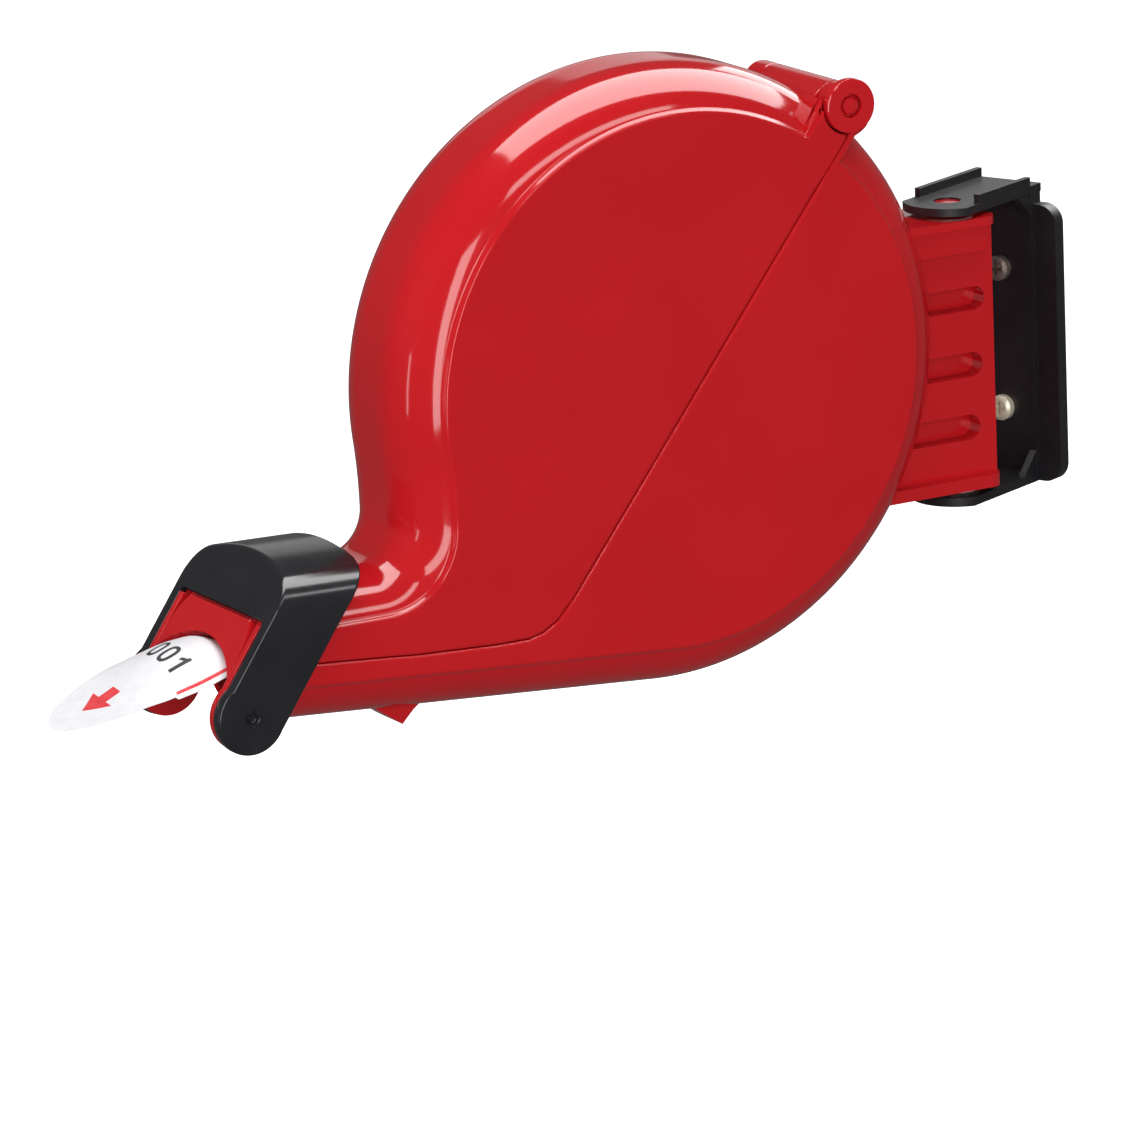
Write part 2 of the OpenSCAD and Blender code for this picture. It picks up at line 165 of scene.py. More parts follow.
def paper(name, c1, c2):
    m, nt, b = tree(name)
    v = coords(nt)
    fib = noise(nt, v, 1100.0, 6.0, 0.75)
    nt.links.new(two_tone(nt, noise(nt, v, 240.0, 5.0, 0.6), c1, c2), b.inputs["Base Color"])
    b.inputs["Roughness"].default_value = 0.62
    b.inputs["Specular IOR Level"].default_value = 0.35
    bump(nt, b, fib, 0.22, 0.00005)
    return m


PAPER = paper("paper", (0.76, 0.76, 0.785), (0.82, 0.82, 0.84))
INK = paper("ink_black", (0.012, 0.012, 0.014), (0.035, 0.035, 0.038))
INK_RED = paper("ink_red", (0.62, 0.020, 0.030), (0.74, 0.045, 0.055))

# roll axis in the row frame, for the rings of the wound paper
AX = Vector(place([[4.0, 0.0, -18.0]])[0])


def wound(name, c1, c2, c3, rings):
    """Edge of wound paper or card: fine rings about the roll axis, uneven in tone."""
    m, nt, b = tree(name)
    tc = coords(nt)
    mp = node(nt, "ShaderNodeMapping", vector_type="TEXTURE")
    mp.inputs["Location"].default_value = AX
    mp.inputs["Rotation"].default_value = (0, 0, -REST)
    nt.links.new(tc, mp.inputs["Vector"])
    sep = node(nt, "ShaderNodeSeparateXYZ")
    nt.links.new(mp.outputs["Vector"], sep.inputs["Vector"])
    cmb = node(nt, "ShaderNodeCombineXYZ")
    nt.links.new(sep.outputs["X"], cmb.inputs["X"])
    nt.links.new(sep.outputs["Z"], cmb.inputs["Z"])
    ln = node(nt, "ShaderNodeVectorMath", operation="LENGTH")
    nt.links.new(cmb.outputs["Vector"], ln.inputs[0])
    one = node(nt, "ShaderNodeCombineXYZ")
    nt.links.new(ln.outputs["Value"], one.inputs["X"])
    r1 = noise(nt, one.outputs["Vector"], rings, 4.0, 0.7)
    r2 = noise(nt, one.outputs["Vector"], rings / 9, 2.0, 0.5)
    mix = node(nt, "ShaderNodeMix", data_type="RGBA")
    nt.links.new(spread(nt, r2, 0.0, 1.0), mix.inputs["Factor"])
    nt.links.new(two_tone(nt, r1, c1, c2), mix.inputs["A"])
    nt.links.new(two_tone(nt, r1, c2, c3), mix.inputs["B"])
    nt.links.new(mix.outputs["Result"], b.inputs["Base Color"])
    b.inputs["Roughness"].default_value = 0.7
    b.inputs["Specular IOR Level"].default_value = 0.3
    bump(nt, b, r1, 0.4, 0.0001)
    return m


WOUND = wound("paper_roll", (0.66, 0.66, 0.69), (0.80, 0.80, 0.83), (0.86, 0.86, 0.88), 2600.0)
CARD = wound("card", (0.27, 0.17, 0.10), (0.40, 0.27, 0.17), (0.48, 0.34, 0.23), 1500.0)


# ---------------------------------------------------------------- mesh tools
class Mesh:
    """Collects closed bits of one piece, in casing or row millimetres."""

    def __init__(self):
        self.v, self.f, self.m = [], [], []

    def add(self, verts, faces, mat=0):
        k = len(self.v)
        self.v.extend([tuple(map(float, p)) for p in verts])
        self.f.extend([tuple(i + k for i in f) for f in faces])
        self.m.extend([mat] * len(faces))

    def bridge(self, rings, closed=True, cap=(True, True), mat=0):
        """Rows of points joined by quads; the ends closed by flat faces."""
        n = len(rings[0])
        verts = [p for r in rings for p in r]
        faces = []
        for i in range(len(rings) - 1):
            for j in range(n if closed else n - 1):
                a, b = i * n + j, i * n + (j + 1) % n
                faces.append((a, b, b + n, a + n))
        if cap[0]:
            faces.append(tuple(reversed(range(n))))
        if cap[1]:
            faces.append(tuple((len(rings) - 1) * n + j for j in range(n)))
        self.add(verts, faces, mat)

    def prism(self, loop, y0, y1, r=0.4, r0=None, seg=3, mat=0, inset=0.7):
        """A plate drawn in XZ between y0 and y1. The edges at y1 have the
        radius r and those at y0 the radius r0."""
        loop = np.asarray(loop, float)
        if area(loop) < 0:
            loop = loop[::-1]
        r0 = r if r0 is None else r0
        rings, s = [], (1 if y1 > y0 else -1)
        if r0 > 0:
            rings.append((r0 + inset, y0))
            for k in range(seg + 1):
                a = math.pi / 2 * k / seg
                rings.append((r0 * (1 - math.sin(a)), y0 + s * r0 * (1 - math.cos(a))))
        else:
            rings.append((0.0, y0))
        if r > 0:
            for k in range(seg + 1):
                a = math.pi / 2 * k / seg
                rings.append((r * (1 - math.cos(a)), y1 - s * r * (1 - math.sin(a))))
            rings.append((r + inset, y1))
        else:
            rings.append((0.0, y1))
        pts = [[(p[0], y, p[1]) for p in shrink(loop, t)] for t, y in rings]
        self.bridge(pts, mat=mat)

    def panel(self, loop, rim, s, mat=0):
        """Raised side panel. Where rim is 1, its edge runs down in a soft cove
        onto the shoulder; where it is 0 it is only rounded, and where it is -1,
        by the hinge, the rounding is small."""
        loop, rim = np.asarray(loop, float), np.asarray(rim, float)
        if area(loop) < 0:
            loop, rim = loop[::-1], rim[::-1]
        prof = [(0.0, 23.5), (-1.1, 24.05), (-1.0, 24.34), (-0.75, 24.48), (-0.5, 24.68), (-0.28, 24.95), (-0.1, 25.25),
                (0.1, 25.52), (0.32, 25.74), (0.62, 25.9), (1.0, 25.98), (1.5, 26.0), (2.4, 26.0)]
        rings = []
        for t, y in prof:
            d = np.where(rim > 0, t, max(t, 0.0) * np.where(rim < 0, 0.22, 1.0))
            rings.append([(p[0], s * y, p[1]) for p in shrink(loop, d)])
        self.bridge(rings, mat=mat)

    def lathe(self, x, z, prof, n=64, mat=0):
        """Profile of (radius, y) pairs turned about an axis along Y."""
        rings = []
        for r, y in prof:
            r = max(r, 0.01)
            rings.append([(x + r * math.cos(2 * math.pi * k / n), y, z + r * math.sin(2 * math.pi * k / n)) for k in range(n)])
        self.bridge(rings, mat=mat)

    def piece(self, name, body, mats, node_names=(), put=place, sharp=32.0, weighted=True):
        me = bpy.data.meshes.new(name)
        me.from_pydata([tuple(p) for p in put(self.v)], [], self.f)
        for m in mats:
            me.materials.append(m)
        me.polygons.foreach_set("material_index", self.m)
        bm = bmesh.new()
        bm.from_mesh(me)
        bmesh.ops.recalc_face_normals(bm, faces=bm.faces)
        bm.to_mesh(me)
        bm.free()
        return finish_piece(me, name, body, node_names, sharp, weighted)


def finish_piece(me, name, body, node_names, sharp, weighted=True):
    me.shade_smooth()
    me.set_sharp_from_angle(angle=math.radians(sharp))
    o = bpy.data.objects.new(name, me)
    bpy.context.scene.collection.objects.link(o)
    if weighted:
        w = o.modifiers.new("normals", "WEIGHTED_NORMAL")
        w.keep_sharp = True
        w.mode = "FACE_AREA"
        w.weight = 50
    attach(o, body)
    if node_names:
        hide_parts(*node_names)
    return o


def area(loop):
    x, z = loop[:, 0], loop[:, 1]
    return 0.5 * float(np.sum(x * np.roll(z, -1) - np.roll(x, -1) * z))


def shrink(loop, t):
    """A counter-clockwise loop moved inwards by t, corners mitred. t is one
    number or one for each point."""
    t = np.broadcast_to(np.asarray(t, float), (len(loop),))[:, None]
    e = np.roll(loop, -1, 0) - loop
    e /= np.linalg.norm(e, axis=1)[:, None]
    n = np.stack([-e[:, 1], e[:, 0]], 1)
    m = np.roll(n, 1, 0) + n
    k = np.maximum(1 + np.sum(np.roll(n, 1, 0) * n, 1), 0.35)
    return loop + t * m / k[:, None]


def arc(cx, cz, r, a0, a1, n):
    a = np.radians(np.linspace(a0, a1, n))
    return np.stack([cx + r * np.cos(a), cz + r * np.sin(a)], 1)


def applied(o):
    """The object's mesh with its modifiers applied, and none left on it."""
    dg = bpy.context.evaluated_depsgraph_get()
    dg.update()
    me = bpy.data.meshes.new_from_object(o.evaluated_get(dg))
    o.modifiers.clear()
    o.data = me
    return me


def soften(cad, body, mat, width=0.5, seg=3, angle=35.0, flat=1.0, sharp=30.0, mats=None, clamp=True):
    """The CAD node's own form with its edges rounded as moulded plastic has."""
    src = NODES[cad].data
    bm = bmesh.new()
    bm.from_mesh(src)
    bmesh.ops.remove_doubles(bm, verts=bm.verts, dist=2e-6)
    bmesh.ops.dissolve_limit(bm, angle_limit=math.radians(flat), use_dissolve_boundaries=False,
                             verts=bm.verts, edges=bm.edges)
    bmesh.ops.recalc_face_normals(bm, faces=bm.faces)
    bm.verts.index_update()
    vs = [v.co.copy() for v in bm.verts]
    fs = [[v.index for v in f.verts] for f in bm.faces]
    bm.free()
    me = bpy.data.meshes.new(cad + "_form")
    me.from_pydata(vs, [], fs)
    me.materials.append(mat)
    tmp = bpy.data.objects.new("tmp", me)
    bpy.context.scene.collection.objects.link(tmp)
    if width:
        b = tmp.modifiers.new("edge", "BEVEL")
        b.width, b.segments = width / 1000, seg
        b.limit_method, b.angle_limit = "ANGLE", math.radians(angle)
        b.use_clamp_overlap = clamp
        b.miter_outer = "MITER_ARC"
    me = applied(tmp)
    bpy.data.objects.remove(tmp)
    me.name = cad + "_form"
    return finish_piece(me, cad + "_look", body, (cad,), sharp)


# ---------------------------------------------------------------- casing form
R, HT, SH, RIM, WALL = 96.0, 26.0, 20.0, 13.0, 2.4
HX, HZ = 60.5, 77.2
PX, PZ = -154.5, -78.0
LEG, NRM = np.array([0.574, 0.819]), np.array([-0.819, 0.574])
UND = math.radians(4.3)


def hp(s, q):
    return np.array([PX, PZ]) + LEG * s + NRM * q


def on_front(z, q):
    """x on the plane q in front of the hood pivot, at height z."""
    s = (z - PZ - NRM[1] * q) / LEG[1]
    return PX + LEG[0] * s + NRM[0] * q


def nose(d, q, n=16):
    x0 = on_front(-43.0 - d, q)
    return np.stack([np.linspace(x0, -104.5, n), np.full(n, -43.0 - d)], 1)


def neck(d, n=20):
    return arc(-104.5, -32.5, 10.5 + d, -90, 0, n)


def limb(d, n=18):
    """Smooth run from the neck fillet up into the round part."""
    a0 = math.radians(187.2)
    p0, p1 = np.array([-94.0, -32.5]), R * np.array([math.cos(a0), math.sin(a0)])
    t0, t1 = np.array([0.0, 1.0]), np.array([math.sin(a0), -math.cos(a0)])
    ln = np.linalg.norm(p1 - p0)
    out = []
    for t in np.linspace(0, 1, n):
        h = np.array([2 * t**3 - 3 * t**2 + 1, t**3 - 2 * t**2 + t, -2 * t**3 + 3 * t**2, t**3 - t**2])
        g = np.array([6 * t**2 - 6 * t, 3 * t**2 - 4 * t + 1, -6 * t**2 + 6 * t, 3 * t**2 - 2 * t])
        p = h[0] * p0 + h[1] * ln * t0 + h[2] * p1 + h[3] * ln * t1
        v = g[0] * p0 + g[1] * ln * t0 + g[2] * p1 + g[3] * ln * t1
        v /= np.linalg.norm(v)
        out.append(p - d * np.array([-v[1], v[0]]))
    return np.array(out)


def drum(d, a0, a1, n):
    return arc(0, 0, R - d, a0, a1, n)


def under(d, x1, n=40):
    a = math.radians(-94.3)
    p0 = (R - d) * np.array([math.cos(a), math.sin(a)])
    z1 = p0[1] + (p0[0] - x1) * math.tan(UND)
    return np.stack([np.linspace(p0[0], x1, n), np.linspace(p0[1], z1, n)], 1)


def cover_curve(d, q=8.0):
    return np.vstack([nose(d, q)[:-1], neck(d)[:-1], limb(d)[:-1], drum(d, 187.2, 57.3, 150)])


def base_curve(d, a0=48.2, x1=-142.0):
    return np.vstack([drum(d, a0, -94.3, 150)[:-1], under(d, x1)])


def section(wall):
    """Half section from the panel edge to the middle of the rim: depth, y."""
    rows = []
    for a in np.linspace(77, 0, 23):
        a = math.radians(a)
        rows.append((SH - (SH - wall) * math.cos(a), HT - SH + (SH - wall) * math.sin(a)))
    for y in (4.0, 2.0, 0.0):
        rows.append((wall, y))
    return rows + [(d, -y) for d, y in reversed(rows[:-1])]


def swept(mesh, curve, mats=(0, 1)):
    """Thick shell swept along an edge curve of the casing."""
    outer = [[(p[0], y, p[1]) for p in curve(d)] for d, y in section(0.0)]
    inner = [[(p[0], y, p[1]) for p in curve(d)] for d, y in section(WALL)]
    k, n = len(outer), len(outer[0])
    verts = [p for r in outer for p in r] + [p for r in inner for p in r]
    o = k * n
    fo, fi, fe = [], [], []
    for i in range(k - 1):
        for j in range(n - 1):
            a = i * n + j
            fo.append((a, a + 1, a + 1 + n, a + n))
            fi.append((o + a, o + a + n, o + a + 1 + n, o + a + 1))
    for i in range(k - 1):
        for j in (0, n - 1):
            a = i * n + j
            fe.append((a, a + n, o + a + n, o + a))
    for j in range(n - 1):
        for i in (0, k - 1):
            a = i * n + j
            fe.append((a, a + 1, o + a + 1, o + a))
    mesh.add(verts, fo + fe, mats[0])
    base = len(mesh.v) - len(verts)
    mesh.f.extend([tuple(i + base for i in f) for f in fi])
    mesh.m.extend([mats[1]] * len(fi))


PART = np.array([[-135.7, -65.9], [-122, -67], [-95, -69.4], [-68, -70.8], [-57.6, -70.8], [-52.6, -69.6],
                 [-47.4, -66.6], [-41.6, -60.6], [-32.4, -49], [59.1, 66.7]])


def side_of(line, g):
    """The parting line moved sideways by g, towards the cover when g > 0."""
    e = np.diff(line, axis=0)
    e /= np.linalg.norm(e, axis=1)[:, None]
    n = np.stack([-e[:, 1], e[:, 0]], 1)
    m = np.vstack([n[:1], n[:-1] + n[1:], n[-1:]])
    k = np.concatenate([[1.0], 1 + np.sum(n[:-1] * n[1:], 1), [1.0]])
    return line + g * m / k[:, None]


def dense(line, step=6.0):
    out = [line[0]]
    for a, b in zip(line[:-1], line[1:]):
        k = max(1, int(np.linalg.norm(b - a) / step))
        out += [a + (b - a) * t for t in np.linspace(0, 1, k + 1)[1:]]
    return np.array(out)


def ear_loop(r=11.0, q=10.4):
    """Side view of the ear beside the mouth."""
    s0 = math.sqrt(max(r * r - q * q, 0))
    a0 = math.degrees(math.atan2(*(hp(s0, q) - hp(0, 0))[::-1]))
    a1 = math.degrees(math.atan2(*(hp(0, -r) - hp(0, 0))[::-1]))
    while a1 < a0:
        a1 += 360
    bottom = arc(PX, PZ, r, a0, a1, 28)
    return np.vstack([hp(25.2, q - 0.2), bottom, hp(14, -r), hp(32, -r), hp(30, 8.0), hp(25.6, 8.2)])


# ---------------------------------------------------------------- cover half
def make_cover():
    c = Mesh()
    swept(c, cover_curve)
    line = side_of(PART, 0.14)
    edge = cover_curve(RIM)
    front = [line[0] + (np.array([-149.5, -65.1]) - line[0])]
    for s in (1, -1):
        turn = arc(HX, HZ, 8.9 if s < 0 else 7.4, 184, 262, 9)
        loop = np.vstack([edge, [[45.9, 69.4]], turn, dense(line[::-1]), front])
        rim = np.zeros(len(loop))
        rim[:len(edge)] = 1
        rim[len(edge):len(edge) + 13] = -1
        c.panel(loop, rim, s)
        c.prism(ear_loop(), s * 23.6, s * 25.9, r=0.4, r0=0.3)
        # block that carries the end of the panel up to the knuckle
        c.prism([[44.2, 66], [45.2, 70.4], [48.6, 75.4], [51.6, 80.0], [51.5, 77.2], [52.0, 73.9], [54.0, 70.9], [57.4, 68.4],
                 [57.6, 66.6], [51.5, 59]], s * 17.9, s * 25.3, r=0.6)
    # end wall of the rim and the trough below the knuckle
    c.prism([[50.6, 78.2], [51.3, 80.2], [49.6, 78.4], [41.4, 65.2], [43.0, 64.2]], -23.4, 23.4, r=0.2)
    trough = np.vstack([arc(HX, HZ, 9.1, 176, 258, 12), arc(HX, HZ, 10.6, 258, 176, 12)])
    c.prism(trough, -24.6, 24.6, r=0.2)
    # web and middle knuckle
    c.prism([[44.8, 69], [51.9, 80], [54, 78], [51.8, 74.5], [47, 67]], -21.5, 21.5, r=0.3)
    c.prism([[51.0, 75.4], [52.6, 79.2], [56.4, 82.2], [60.6, 82.9], [58.0, 72.0], [54.4, 71.4]], -17.4, 17.4, r=0.5)
    c.lathe(HX, HZ, [(3.5, 17.0), (3.5, 17.6), (6.0, 17.6), (6.35, 17.45), (6.5, 17.1), (6.5, -17.1), (6.35, -17.45),
                     (6.0, -17.6), (3.5, -17.6), (3.5, -17.0)], 72)
    return c.piece("cover_shell_look", "cover", [RED, RED_IN], ("cover_shell",))


# ---------------------------------------------------------------- base half
def make_base():
    b = Mesh()
    swept(b, base_curve)
    line = side_of(PART, -0.14)
    edge = base_curve(RIM, 46.2, -141.2)
    loop = np.vstack([edge, dense(line), [[60.4, 68.4], [61.6, 71.6], [63.6, 70.2], [61.0, 65.6]]])
    for s in (1, -1):
        rim = np.zeros(len(loop))
        rim[:len(edge)] = 1
        rim[-7:] = -1
        b.panel(loop, rim, s)
        b.prism([[55.8, 59.0], [60.2, 66.8], [62.4, 74.8], [66.4, 72.6], [64.2, 68.4], [61.4, 65.6], [57.4, 59.9]],
                s * 18.1, s * 25.2, r=0.4)
        # end knuckles: plain on the far side, with a disc face stepped round the pin on the near side
        if s > 0:
            b.lathe(HX, HZ, [(3.5, 18.3), (3.5, 17.9), (6.1, 17.9), (6.5, 18.3), (6.5, 25.0), (6.38, 25.5), (6.05, 25.9),
                             (5.6, 26.13), (5.0, 26.2), (0.0, 26.2)], 84)
        y = [17.9, 18.2, 24.6, 24.9, 27.05, 27.4, 27.5]
        prof = [(3.5, y[0] + 0.4), (3.5, y[0]), (6.1, y[0]), (6.5, y[1] + 0.1), (6.5, y[2] - 0.2), (7.7, y[2] - 0.15), (8.15, y[2]),
                (8.4, y[3]), (8.4, y[4]), (8.28, y[5] - 0.08), (8.0, y[6]), (7.6, y[6]), (3.95, y[6]), (3.75, y[6] - 0.06),
                (3.68, y[6] - 0.25), (3.68, 25.2), (3.5, 25.2), (3.45, 25.0)]
        if s < 0:
            b.lathe(HX, HZ, [(r, s * t) for r, t in prof], 84)
        # bosses for the spindle seats
        for p in ((20, -8), (2, -40)):
            b.lathe(p[0], p[1], [(1.3, s * 21.9), (1.3, s * 21.65), (3.7, s * 21.65), (4.0, s * 21.9), (4.0, s * 24.5), (1.0, s * 24.5)], 32, mat=1)
    # end wall of the rim below the knuckle
    b.prism([[63.0, 71.6], [64.6, 70.2], [62.6, 68.4], [57.2, 62.0], [55.6, 63.4]], -23.4, 23.4, r=0.2)
    trough = np.vstack([arc(HX, HZ, 9.1, 268, 318, 9), arc(HX, HZ, 10.6, 318, 268, 9)])
    b.prism(trough, -24.0, 24.0, r=0.2)
    # lug under the snout
    b.prism([[-84, -87.5], [-86.4, -89.8], [-88.6, -91.4], [-92.6, -95.4], [-103, -88.2], [-100, -86]], -8, 8, r=0.25)
    # posts for the chute, pads for the knuckle screws and the brake spring
    for x in (-62, -122):
        zt = -18 - 52 - 0.62 - (x - 4) * 0.0265 - 2.6
        ring = [[(x + r * math.cos(a), r * math.sin(a), z) for a in np.linspace(0, 2 * math.pi, 33)[:-1]]
                for r, z in ((4, -88 if x > -100 else -85), (4, zt - 0.4), (3.7, zt), (1.3, zt), (1.3, zt - 1))]
        b.bridge(ring, mat=1)
    for z in (16, -22):
        b.prism([[89.2, z - 6], [93.4, z - 6], [93.4, z + 6], [89.2, z + 6]], -6, 6, r=0.3, mat=1)
    u, w = np.array([math.cos(math.radians(-32)), math.sin(math.radians(-32))]), np.array([0.53, 0.848])
    b.prism([u * 88.2 - w * 8, u * 93.6 - w * 8, u * 93.6 + w * 8, u * 88.2 + w * 8], -8, 8, r=0.3, mat=1)
    return b.piece("base_shell_look", "base", [RED, RED_IN], ("base_shell",))


def make_hinge_pin():
    p = Mesh()
    p.lathe(HX, HZ, [(0.0, -26.9), (2.0, -26.95), (2.45, -26.8), (2.72, -26.4), (2.75, -25.6), (3.3, -25.5), (3.4, -25.3),
                     (3.4, 24.0), (3.1, 24.4), (0.0, 24.4)], 56)
    return p.piece("cover_hinge_pin_look", "base", [RED], ("cover_hinge_pin",))


make_cover()
make_base()
make_hinge_pin()

# ---------------------------------------------------------------- other parts
soften("mouth_hood", "hood", HOOD, 1.2, 4, clamp=False)
soften("nose_plate", "cover", RED, 0.3, 2)
soften("hood_pins", "cover", STEEL, 0.25, 2)
soften("swivel_arm", "base", RED, 0.7, 3)
soften("arm_screws", "base", STEEL, 0.3, 2)
soften("swivel_washers", "base", INNER, 0.12, 2)
soften("wall_bracket", "bracket", BRACKET, 0.7, 3)
screws = soften("wall_screws", "bracket", BRASS, 0.25, 2)
# The upper screw (z > 0) takes the darker brass, which is painted shade; the lower screw takes the plain brass.
screws.data.materials.append(BRASS_PAINTED_SHADE)
for f in screws.data.polygons:
    f.material_index = 1 if f.center.z > 0 else 0
soften("spindle_seats", "base", INNER, 0.3, 2)
soften("seat_screws", "base", STEEL, 0.25, 2)
soften("chute_plate", "base", INNER, 0.3, 2)
soften("chute_screws", "base", STEEL, 0.25, 2)
soften("brake_spring", "base", STEEL, 0.0)
soften("brake_rivets", "base", STEEL, 0.25, 2)
soften("roll_spindle", "roll", INNER, 0.4, 2)
soften("roll_core", "roll", CARD, 0.2, 2)
soften("ticket_roll", "roll", WOUND, 0.25, 2)


# ---------------------------------------------------------------- ticket strip
def feed_z(x):
    return -18 - 52 - 0.62 - (x - 4) * 0.0265


SPINE = np.array([[46.0, feed_z(46)], [-149.0, feed_z(-149)], [-155.0, feed_z(-149) - 0.1], [-162.0, -67.85],
                  [-172.0, -69.75], [-181.0, -71.6], [-190.0, -73.9], [-198.0, -76.2], [-206.2, -78.9]])
TIP = np.array([[-172.3, 18.0], [-172.9, 17.0], [-176, 16.9], [-181, 16.1], [-186, 15.1], [-190.5, 13.9], [-196, 11.7], [-200, 9.5],
                [-203.4, 6.5], [-205.3, 3.1], [-205.9, 0.0]])


def spine_z(x):
    xs, zs = SPINE[::-1, 0], SPINE[::-1, 1]
    z = np.interp(x, xs, zs)
    return float(z)


def crown(x, y):
    """Height of the paper: it follows the feed line, bows up across its width
    as it passes the mouth, and leans a little beyond it."""
    t = min(max((-148.0 - x) / 18.0, 0.0), 1.0)
    u = min(max((-136.0 - x) / 21.0, 0.0), 1.0)
    v = min(max((-160.0 - x) / 34.0, 0.0), 1.0)
    bow = 6.9 * u * u * (3 - 2 * u) * (1 - v * v * (3 - 2 * v))
    return spine_z(x) + 0.12 + t * t * (3 - 2 * t) * 0.11 * y + bow * (1 - (y / 18.0) ** 2)


def half_width(x):
    if x > TIP[0, 0]:
        return 18.0
    return float(np.interp(-x, -TIP[:, 0], TIP[:, 1]))


def make_ticket():
    t = Mesh()
    xs = np.concatenate([np.linspace(46, -140, 32), np.linspace(-143, -172.3, 20), np.linspace(-172.9, -204.4, 36), [-205.0, -205.4, -205.7, -205.86]])
    ys = np.linspace(-1, 1, 19)
    top, low = [], []
    for x in xs:
        w = max(half_width(x), 0.15)
        top.append([(x, w * k, crown(x, w * k) + 0.12) for k in ys])
        low.append([(x, w * k, crown(x, w * k) - 0.06) for k in ys])
    n, k = len(ys), len(xs)
    verts = [p for r in top for p in r] + [p for r in low for p in r]
    o, faces = n * k, []
    for i in range(k - 1):
        for j in range(n - 1):
            a = i * n + j
            faces += [(a, a + 1, a + 1 + n, a + n), (o + a, o + a + n, o + a + 1 + n, o + a + 1)]
        for j in (0, n - 1):
            a = i * n + j
            faces.append((a, a + n, o + a + n, o + a))
    for i in (0, k - 1):
        for j in range(n - 1):
            a = i * n + j
            faces.append((a, a + 1, o + a + 1, o + a))
    t.add(verts, faces)
    return t.piece("ticket_strip_look", "ticket", [PAPER], ("ticket_strip",), sharp=50)


def print_on(mesh, pts, mat, at, rot=0.0):
    """A filled shape laid on the ticket. pts run along (reading, up); reading is
    towards -y and up is towards +x."""
    flat = [Vector((at[0] + b, at[1] - a, 0)) for a, b in pts]
    todo = [[flat[i] for i in tri] for tri in tessellate_polygon([flat])]
    while todo:
        tri = todo.pop()
        ln = [(tri[(i + 1) % 3] - tri[i]).length for i in range(3)]
        k = ln.index(max(ln))
        if ln[k] > 1.3:
            a, b, c = tri[k], tri[(k + 1) % 3], tri[(k + 2) % 3]
            m = (a + b) / 2
            todo += [[a, m, c], [m, b, c]]
            continue
        top = [(p.x, p.y, crown(p.x, p.y) + 0.12 + 0.06) for p in tri]
        low = [(p.x, p.y, crown(p.x, p.y) + 0.12 - 0.03) for p in tri]
        mesh.add(top + low, [(0, 1, 2), (5, 4, 3), (0, 3, 4, 1), (1, 4, 5, 2), (2, 5, 3, 0)], mat)


def ring_shape(w, h, th, n=28):
    """Strip of quads round a rounded zero."""
    def pt(k, off):
        a = 2 * math.pi * k / n
        c, s = math.cos(a), math.sin(a)
        p = 2.6
        rr = (abs(c) ** p + abs(s) ** p) ** (-1 / p)
        return ((w / 2 - off) * rr * c, (h / 2 - off) * rr * s)
    return [[pt(k, 0), pt(k + 1, 0), pt(k + 1, th), pt(k, th)] for k in range(n)]


def make_print():
    p = Mesh()
    def number(x, digits):
        adv = 6.6
        for i, ch in enumerate(digits):
            at = (x, -0.9 + (1 - i) * adv)
            if ch == "0":
                for q in ring_shape(4.9, 7.6, 1.2):
                    print_on(p, q, 0, at)
            else:
                print_on(p, [(-0.1, -3.8), (1.15, -3.8), (1.15, 3.8), (0.2, 3.8), (-0.1, 3.0)], 0, at)
                print_on(p, [(-0.1, 1.7), (-0.1, 3.0), (-1.7, 1.9), (-1.7, 0.7)], 0, at)
    def arrow(x):
        # plain arrow that points to the tip of the ticket
        print_on(p, [(0, -6.0), (5.8, 0.8), (2.3, 0.8), (2.3, 5.8), (-2.3, 5.8), (-2.3, 0.8), (-5.8, 0.8)], 1, (x, 0))
    def lines(x0, x1):
        for s in (1, -1):
            y = s * 16.2
            xs = np.linspace(x0, x1, 12)
            for a, b in zip(xs[:-1], xs[1:]):
                print_on(p, [(-0.45, a - x0), (0.45, a - x0), (0.45, b - x0), (-0.45, b - x0)], 1, (x0, y))
    number(-166.4, "001")
    arrow(-189.5)
    lines(-172.0, -141.0)
    return p.piece("ticket_print", "ticket", [INK, INK_RED], (), sharp=60, weighted=False)


make_ticket()
make_print()


def make_pivot_caps():
    """Moulded discs that close the pivot bores of the hood, a little sunk."""
    m = Mesh()
    for s in (1, -1):
        m.lathe(PX, PZ, [(0.0, s * 29.5), (1.5, s * 29.5), (2.85, s * 30.36), (2.3, s * 30.3), (1.7, s * 30.2), (0.9, s * 30.12),
                         (0.0, s * 30.1)], 40)
    return m.piece("hood_pivot_caps_look", "hood", [HOOD], ())


make_pivot_caps()


# ---------------------------------------------------------------- studio
def aim(o, pos, target):
    o.location = pos
    o.rotation_mode = "QUATERNION"
    o.rotation_quaternion = (Vector(target) - Vector(pos)).to_track_quat("-Z", "Y")


def local_dir(v):
    """A direction in the casing frame, in the row frame."""
    return Vector((CA * v[0] + SA * v[1], -SA * v[0] + CA * v[1], v[2]))


MID = Vector((-0.15, 0.055, 0.0))


def softbox(name, direction, dist, w, h, power, wide=(1, 0, 0), gloss=True, diffuse=True):
    """Rectangular light seen from the casing in a direction of its frame; w
    runs along the direction wide, h across it."""
    la = bpy.data.lights.new(name, "AREA")
    la.shape, la.size, la.size_y = "RECTANGLE", w, h
    la.energy = power
    o = bpy.data.objects.new(name, la)
    bpy.context.scene.collection.objects.link(o)
    z = local_dir(direction).normalized()
    x = local_dir(wide)
    x = (x - z * x.dot(z)).normalized()
    y = z.cross(x)
    o.matrix_world = Matrix.Translation(MID + z * dist) @ Matrix((x, y, z)).transposed().to_4x4()
    o.visible_glossy, o.visible_diffuse = gloss, diffuse
    return o


